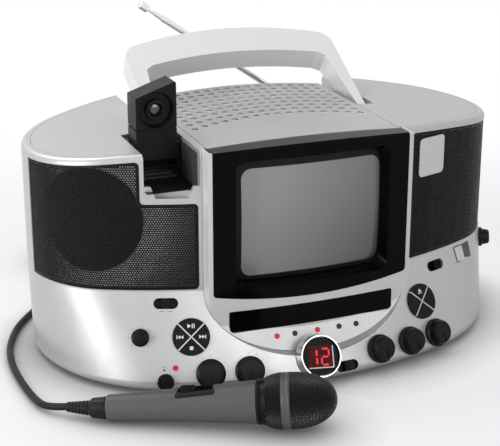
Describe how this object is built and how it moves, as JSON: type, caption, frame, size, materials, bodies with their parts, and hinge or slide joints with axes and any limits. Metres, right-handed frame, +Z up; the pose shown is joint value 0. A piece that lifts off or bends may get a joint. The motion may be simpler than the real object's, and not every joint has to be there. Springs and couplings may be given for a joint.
{
  "type": "karaoke player",
  "caption": "Oval table-top karaoke player with a picture tube, a disc drawer, a fold-down camera, a swing handle, a telescopic antenna and a wired microphone.",
  "frame": {"origin": "on the table under the middle of the body, where its mid plane between left and right crosses the plane of the widest point", "axes": "+Z up, +X to the right as seen from the front, +Y to the back"},
  "size_m": [0.4601, 0.4931, 0.282],
  "materials": {
    "silver_shell": "satin silver paint",
    "silver_cover": "satin silver",
    "dark_pan": "matt",
    "foot_rubber": "matt",
    "gloss_black": "gloss",
    "tube_glass": "gloss dark glass",
    "copper_yoke": "lacquered copper",
    "grille_black": "satin black",
    "speaker_cone": "matt",
    "matt_black": "satin",
    "key_black": "satin",
    "red_lamp": "gloss",
    "circuit_board": "matt",
    "transformer_iron": "matt",
    "antenna_chrome": "polished",
    "cable_rubber": "satin",
    "microphone_grey": "satin dark grey",
    "microphone_mesh": "satin dark mesh"
  },
  "bodies": {
    "machine": {"front_shell": "silver_shell", "rear_cover": "silver_shell", "base_plate": "dark_pan", "feet": "foot_rubber", "left_top_plate": "silver_shell", "right_top_plate": "silver_shell", "centre_top_cover": "silver_cover", "screen_surround": "silver_shell", "tv_bezel": "gloss_black", "picture_tube": "tube_glass", "deflection_yoke": "copper_yoke", "left_grille": "grille_black", "right_grille": "grille_black", "speakers": "speaker_cone", "camera_bracket": "matt_black", "deck_frame": "dark_pan", "main_board": "circuit_board", "mains_transformer": "transformer_iron", "display_ring": "silver_shell", "display_window": "gloss_black", "status_leds": "red_lamp", "jack_panel": "matt_black", "mic_plug": "cable_rubber", "mic_cord_a": "cable_rubber", "mic_coil": "cable_rubber", "mic_cord_b": "cable_rubber", "microphone_body": "microphone_grey", "microphone_head": "microphone_mesh", "microphone_relief": "cable_rubber"},
    "camera_arm": {"camera_arm": "matt_black"},
    "camera_head": {"camera_head": "matt_black"},
    "drawer": {"disc_tray": "matt_black", "tray_door": "gloss_black"},
    "turntable": {"turntable": "matt_black"},
    "laser_sled": {"laser_sled": "matt_black"},
    "handle": {"handle": "silver_shell"},
    "antenna_turret": {"antenna_turret": "antenna_chrome"},
    "antenna_mast_1": {"antenna_mast_1": "antenna_chrome"},
    "antenna_mast_2": {"antenna_mast_2": "antenna_chrome"},
    "antenna_mast_3": {"antenna_mast_3": "antenna_chrome"},
    "microphone_switch": {"microphone_switch": "matt_black"},
    "volume_knob": {"volume_knob": "matt_black"},
    "balance_knob": {"balance_knob": "matt_black"},
    "echo_knob": {"echo_knob": "matt_black"},
    "mic_knob_1": {"mic_knob_1": "matt_black"},
    "mic_knob_2": {"mic_knob_2": "matt_black"},
    "contrast_knob": {"contrast_knob": "matt_black"},
    "side_knob": {"side_knob": "matt_black"},
    "power_button": {"power_button": "key_black"},
    "left_key_top": {"left_key_top": "key_black"},
    "left_key_right": {"left_key_right": "key_black"},
    "left_key_bottom": {"left_key_bottom": "key_black"},
    "left_key_left": {"left_key_left": "key_black"},
    "right_key_top": {"right_key_top": "key_black"},
    "right_key_right": {"right_key_right": "key_black"},
    "right_key_bottom": {"right_key_bottom": "key_black"},
    "right_key_left": {"right_key_left": "key_black"},
    "monitor_switch": {"monitor_switch": "matt_black"},
    "radio_switch": {"radio_switch": "matt_black"},
    "output_switch": {"output_switch": "matt_black"}
  },
  "joints": [
    {"name": "camera_fold", "type": "hinge", "parent": "machine", "child": "camera_arm", "pos_m": [-0.1157, -0.042, 0.189], "axis": [1, 0, 0], "range_deg": [0, 90]},
    {"name": "camera_swivel", "type": "hinge", "parent": "camera_arm", "child": "camera_head", "pos_m": [-0.1157, -0.0468, 0.2103], "axis": [0, 0, 1], "range_deg": [-15, 15]},
    {"name": "drawer_slide", "type": "slide", "parent": "machine", "child": "drawer", "axis": [0, -1, 0], "range_m": [0, 0.118]},
    {"name": "turntable_spin", "type": "hinge", "parent": "machine", "child": "turntable", "pos_m": [0, -0.0535, 0.045], "axis": [0, 0, 1], "continuous": true},
    {"name": "sled_slide", "type": "slide", "parent": "machine", "child": "laser_sled", "axis": [0, 1, 0], "range_m": [0, 0.032]},
    {"name": "handle_swing", "type": "hinge", "parent": "machine", "child": "handle", "pos_m": [0, 0.0008, 0.187], "axis": [1, 0, 0], "range_deg": [-29.6, 60.4]},
    {"name": "antenna_swivel", "type": "hinge", "parent": "machine", "child": "antenna_turret", "pos_m": [0.096, 0.118, 0.1635], "axis": [0, 1, 0], "range_deg": [-34.5, 145.5]},
    {"name": "antenna_tilt", "type": "hinge", "parent": "antenna_turret", "child": "antenna_mast_1", "pos_m": [0.096, 0.128, 0.1635], "axis": [-0.5664, 0, -0.8241], "range_deg": [0, 90]},
    {"name": "mast_2_slide", "type": "slide", "parent": "antenna_mast_1", "child": "antenna_mast_2", "axis": [-0.8241, 0, 0.5664], "range_m": [-0.0085, 0.15]},
    {"name": "mast_3_slide", "type": "slide", "parent": "antenna_mast_2", "child": "antenna_mast_3", "axis": [-0.8241, 0, 0.5664], "range_m": [-0.0075, 0.15]},
    {"name": "microphone_switch_slide", "type": "slide", "parent": "machine", "child": "microphone_switch", "axis": [0.8989, -0.4304, 0.0828], "range_m": [0, 0.009]},
    {"name": "volume_knob_turn", "type": "hinge", "parent": "machine", "child": "volume_knob", "pos_m": [-0.0965, -0.13232, 0.0185], "axis": [-0.2544, -0.8694, 0.4235], "range_deg": [-150, 150]},
    {"name": "balance_knob_turn", "type": "hinge", "parent": "machine", "child": "balance_knob", "pos_m": [-0.0648, -0.13974, 0.019], "axis": [-0.1693, -0.8822, 0.4393], "range_deg": [-150, 150]},
    {"name": "echo_knob_turn", "type": "hinge", "parent": "machine", "child": "echo_knob", "pos_m": [0.0537, -0.14118, 0.02], "axis": [0.1398, -0.8854, 0.4432], "range_deg": [-150, 150]},
    {"name": "mic_knob_1_turn", "type": "hinge", "parent": "machine", "child": "mic_knob_1", "pos_m": [0.086, -0.13472, 0.0195], "axis": [0.2257, -0.8744, 0.4295], "range_deg": [-150, 150]},
    {"name": "mic_knob_2_turn", "type": "hinge", "parent": "machine", "child": "mic_knob_2", "pos_m": [0.116, -0.12583, 0.0188], "axis": [0.3078, -0.8585, 0.4101], "range_deg": [-150, 150]},
    {"name": "contrast_knob_turn", "type": "hinge", "parent": "machine", "child": "contrast_knob", "pos_m": [-0.1468, -0.10075, 0.046], "axis": [-0.3793, -0.8439, 0.3794], "range_deg": [-150, 150]},
    {"name": "side_knob_turn", "type": "hinge", "parent": "machine", "child": "side_knob", "pos_m": [0.20565, -0.04, 0.068], "axis": [0.9024, -0.4285, 0.0458], "range_deg": [-150, 150]},
    {"name": "power_press", "type": "slide", "parent": "machine", "child": "power_button", "axis": [0.3664, 0.8594, -0.3566], "range_m": [0, 0.002], "stiffness_N_per_m": 500},
    {"name": "left_key_top_press", "type": "slide", "parent": "machine", "child": "left_key_top", "axis": [0.2729, 0.868, -0.4148], "range_m": [0, 0.001], "stiffness_N_per_m": 600},
    {"name": "left_key_right_press", "type": "slide", "parent": "machine", "child": "left_key_right", "axis": [0.2729, 0.868, -0.4148], "range_m": [0, 0.001], "stiffness_N_per_m": 600},
    {"name": "left_key_bottom_press", "type": "slide", "parent": "machine", "child": "left_key_bottom", "axis": [0.2729, 0.868, -0.4148], "range_m": [0, 0.001], "stiffness_N_per_m": 600},
    {"name": "left_key_left_press", "type": "slide", "parent": "machine", "child": "left_key_left", "axis": [0.2729, 0.868, -0.4148], "range_m": [0, 0.001], "stiffness_N_per_m": 600},
    {"name": "right_key_top_press", "type": "slide", "parent": "machine", "child": "right_key_top", "axis": [-0.2676, 0.869, -0.4163], "range_m": [0, 0.001], "stiffness_N_per_m": 600},
    {"name": "right_key_right_press", "type": "slide", "parent": "machine", "child": "right_key_right", "axis": [-0.2676, 0.869, -0.4163], "range_m": [0, 0.001], "stiffness_N_per_m": 600},
    {"name": "right_key_bottom_press", "type": "slide", "parent": "machine", "child": "right_key_bottom", "axis": [-0.2676, 0.869, -0.4163], "range_m": [0, 0.001], "stiffness_N_per_m": 600},
    {"name": "right_key_left_press", "type": "slide", "parent": "machine", "child": "right_key_left", "axis": [-0.2676, 0.869, -0.4163], "range_m": [0, 0.001], "stiffness_N_per_m": 600},
    {"name": "monitor_switch_slide", "type": "slide", "parent": "machine", "child": "monitor_switch", "axis": [0.9441, -0.3298, 0], "range_m": [-0.0045, 0.0045]},
    {"name": "radio_switch_slide", "type": "slide", "parent": "machine", "child": "radio_switch", "axis": [0.9385, 0.3454, 0], "range_m": [-0.0045, 0.0045]},
    {"name": "output_switch_slide", "type": "slide", "parent": "machine", "child": "output_switch", "axis": [0.9982, 0.0601, 0], "range_m": [-0.0045, 0.0045]}
  ]
}
